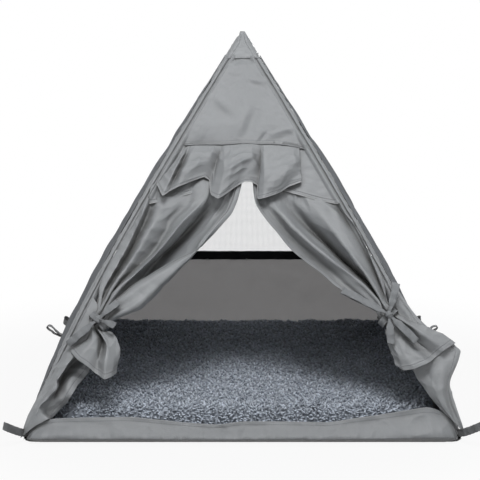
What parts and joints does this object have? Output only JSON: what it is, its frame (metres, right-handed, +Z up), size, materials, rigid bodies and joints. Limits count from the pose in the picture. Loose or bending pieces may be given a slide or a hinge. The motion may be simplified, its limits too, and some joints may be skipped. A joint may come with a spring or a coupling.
{
  "type": "pet teepee",
  "caption": "Square-based fabric tent for a small pet, with poles in corner sleeves, tied-back door curtains, a pleated valance, a mesh back window and a plush pad.",
  "frame": {"origin": "centre of the floor sheet's underside, on the ground", "axes": "+Z up, -Y out through the door, +X to the right of someone who looks in through the door"},
  "size_m": [0.6484, 0.6484, 0.55],
  "materials": {
    "grey_cloth": "satin",
    "ribbon": "satin",
    "webbing": "matt",
    "black_tape": "matt",
    "window_net": "satin",
    "plush": "matt",
    "filling": "matt",
    "fibreglass": "satin",
    "steel": "brushed",
    "rubber": "matt",
    "hub_plastic": "satin"
  },
  "bodies": {
    "tent": {"apex_cap": "grey_cloth", "back_wall": "grey_cloth", "floor_sheet": "grey_cloth", "foot_cap_back_left": "rubber", "foot_cap_back_right": "rubber", "foot_cap_front_left": "rubber", "foot_cap_front_right": "rubber", "front_gable": "grey_cloth", "front_sill": "grey_cloth", "left_curtain": "grey_cloth", "left_curtain_flap": "grey_cloth", "left_curtain_skirt": "grey_cloth", "left_tie_band": "ribbon", "left_tie_knot": "ribbon", "left_wall": "grey_cloth", "pole_ferrule_back_left": "steel", "pole_ferrule_back_right": "steel", "pole_ferrule_front_left": "steel", "pole_ferrule_front_right": "steel", "pole_lower_back_left": "fibreglass", "pole_lower_back_right": "fibreglass", "pole_lower_front_left": "fibreglass", "pole_lower_front_right": "fibreglass", "pole_sleeve_back_left": "grey_cloth", "pole_sleeve_back_right": "grey_cloth", "pole_sleeve_front_left": "grey_cloth", "pole_sleeve_front_right": "grey_cloth", "pole_upper_back_left": "fibreglass", "pole_upper_back_right": "fibreglass", "pole_upper_front_left": "fibreglass", "pole_upper_front_right": "fibreglass", "right_curtain": "grey_cloth", "right_curtain_flap": "grey_cloth", "right_curtain_skirt": "grey_cloth", "right_tie_band": "ribbon", "right_tie_knot": "ribbon", "right_wall": "grey_cloth", "top_hub": "hub_plastic", "window_net": "window_net", "window_tape": "black_tape"},
    "valance": {"valance": "grey_cloth"},
    "pad": {"pad_plush_top": "plush", "pad_filling": "filling", "pad_underside": "grey_cloth"},
    "peg_loop_front_left": {"peg_loop_front_left": "webbing"},
    "peg_loop_front_right": {"peg_loop_front_right": "webbing"},
    "peg_loop_back_left": {"peg_loop_back_left": "webbing"},
    "peg_loop_back_right": {"peg_loop_back_right": "webbing"},
    "side_loop_left": {"side_loop_left": "webbing"},
    "side_loop_right": {"side_loop_right": "webbing"},
    "left_bow_loop_upper": {"left_bow_loop_upper": "ribbon"},
    "left_bow_loop_lower": {"left_bow_loop_lower": "ribbon"},
    "left_tie_end": {"left_tie_end": "ribbon"},
    "right_bow_loop_inner": {"right_bow_loop_inner": "ribbon"},
    "right_bow_loop_lower": {"right_bow_loop_lower": "ribbon"},
    "right_tie_end_upper": {"right_tie_end_upper": "ribbon"},
    "right_tie_end_lower": {"right_tie_end_lower": "ribbon"}
  },
  "joints": [
    {"name": "valance_lift", "type": "hinge", "parent": "tent", "child": "valance", "pos_m": [0, -0.10554, 0.38773], "axis": [-1, 0, 0], "range_deg": [0, 150]},
    {"name": "pad_lift", "type": "slide", "parent": "tent", "child": "pad", "axis": [0, 0, 1], "range_m": [0, 0.012]},
    {"name": "peg_loop_front_left_bend", "type": "hinge", "parent": "tent", "child": "peg_loop_front_left", "pos_m": [-0.29715, -0.29715, 0.0125], "axis": [0.1949, 0.1949, 0.9613], "range_deg": [-40, 40], "stiffness_Nm_per_rad": 0.005},
    {"name": "peg_loop_front_right_bend", "type": "hinge", "parent": "tent", "child": "peg_loop_front_right", "pos_m": [0.29715, -0.29715, 0.0125], "axis": [-0.1949, 0.1949, 0.9613], "range_deg": [-40, 40], "stiffness_Nm_per_rad": 0.005},
    {"name": "peg_loop_back_left_bend", "type": "hinge", "parent": "tent", "child": "peg_loop_back_left", "pos_m": [-0.29715, 0.29715, 0.0125], "axis": [0.1949, -0.1949, 0.9613], "range_deg": [-40, 40], "stiffness_Nm_per_rad": 0.005},
    {"name": "peg_loop_back_right_bend", "type": "hinge", "parent": "tent", "child": "peg_loop_back_right", "pos_m": [0.29715, 0.29715, 0.0125], "axis": [-0.1949, -0.1949, 0.9613], "range_deg": [-40, 40], "stiffness_Nm_per_rad": 0.005},
    {"name": "side_loop_left_bend", "type": "hinge", "parent": "tent", "child": "side_loop_left", "pos_m": [-0.28234, 0, 0.07504], "axis": [0, 1, 0], "range_deg": [-40, 50], "stiffness_Nm_per_rad": 0.01},
    {"name": "side_loop_right_bend", "type": "hinge", "parent": "tent", "child": "side_loop_right", "pos_m": [0.28142, 0, 0.07464], "axis": [0, -1, 0], "range_deg": [-40, 50], "stiffness_Nm_per_rad": 0.01},
    {"name": "left_bow_loop_upper_swing", "type": "hinge", "parent": "tent", "child": "left_bow_loop_upper", "pos_m": [-0.19414, -0.25333, 0.16649], "axis": [0.6809, -0.3301, -0.6537], "range_deg": [0, 50]},
    {"name": "left_bow_loop_lower_swing", "type": "hinge", "parent": "tent", "child": "left_bow_loop_lower", "pos_m": [-0.20459, -0.25752, 0.15818], "axis": [-0.6492, 0.3429, 0.679], "range_deg": [0, 50]},
    {"name": "left_tie_end_swing", "type": "hinge", "parent": "tent", "child": "left_tie_end", "pos_m": [-0.19272, -0.25659, 0.16003], "axis": [-0.3529, -0.4217, -0.8352], "range_deg": [0, 50]},
    {"name": "right_bow_loop_inner_swing", "type": "hinge", "parent": "tent", "child": "right_bow_loop_inner", "pos_m": [0.19602, -0.25083, 0.17138], "axis": [0.493, 0.3949, 0.7753], "range_deg": [0, 50]},
    {"name": "right_bow_loop_lower_swing", "type": "hinge", "parent": "tent", "child": "right_bow_loop_lower", "pos_m": [0.20682, -0.25475, 0.16369], "axis": [-0.7397, -0.3054, -0.5996], "range_deg": [0, 50]},
    {"name": "right_tie_end_upper_swing", "type": "hinge", "parent": "tent", "child": "right_tie_end_upper", "pos_m": [0.20399, -0.24934, 0.17431], "axis": [0.9631, -0.1221, -0.2398], "range_deg": [0, 50]},
    {"name": "right_tie_end_lower_swing", "type": "hinge", "parent": "tent", "child": "right_tie_end_lower", "pos_m": [0.2024, -0.25557, 0.16207], "axis": [-0.9991, -0.019, -0.0372], "range_deg": [0, 50]}
  ]
}
